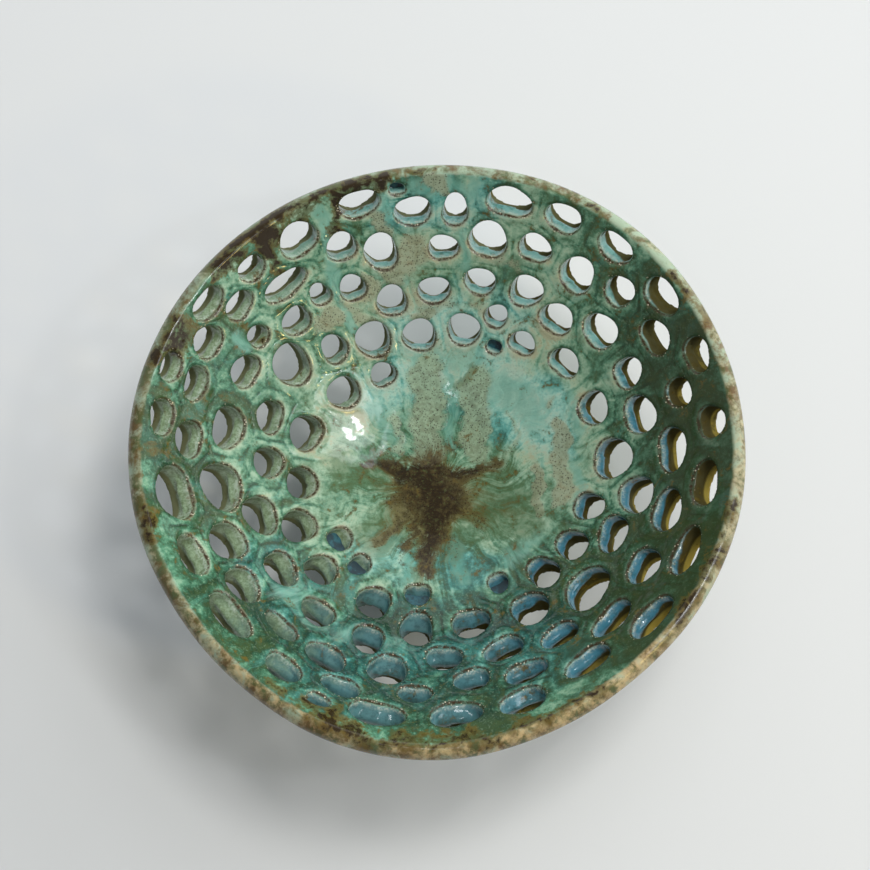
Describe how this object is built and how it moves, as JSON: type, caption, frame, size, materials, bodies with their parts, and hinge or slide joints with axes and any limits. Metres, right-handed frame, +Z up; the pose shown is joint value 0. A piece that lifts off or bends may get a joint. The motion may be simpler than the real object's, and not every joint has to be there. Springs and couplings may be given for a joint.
{
  "type": "berry colander bowl",
  "caption": "Wide shallow stoneware bowl on a foot ring, its wall pierced by irregular oval drain holes, glazed turquoise with a brown glass pool on the floor.",
  "frame": {"origin": "middle of the foot ring, on the table that it stands on", "axes": "+Z up along the bowl's axis, +X to the right and +Y away from the viewer in the picture"},
  "size_m": [0.1926, 0.1926, 0.0689],
  "materials": {
    "floor_glaze": "glossy turquoise glaze with matte pale patches",
    "wall_glaze": "glossy mottled turquoise glaze, brown at the edges",
    "rim_glaze": "glossy glaze broken brown over pale green",
    "foot_glaze": "glossy glaze, bare clay where it stands",
    "pool_glass": "thick dark brown glaze glass",
    "plug_glass": "thick dark blue-green glaze glass"
  },
  "bodies": {
    "root": {"floor_disc": "floor_glaze", "pierced_wall": "wall_glaze", "rim_coil": "rim_glaze", "foot_ring": "foot_glaze", "glaze_pool": "pool_glass", "glaze_plugs": "plug_glass"}
  },
  "joints": []
}
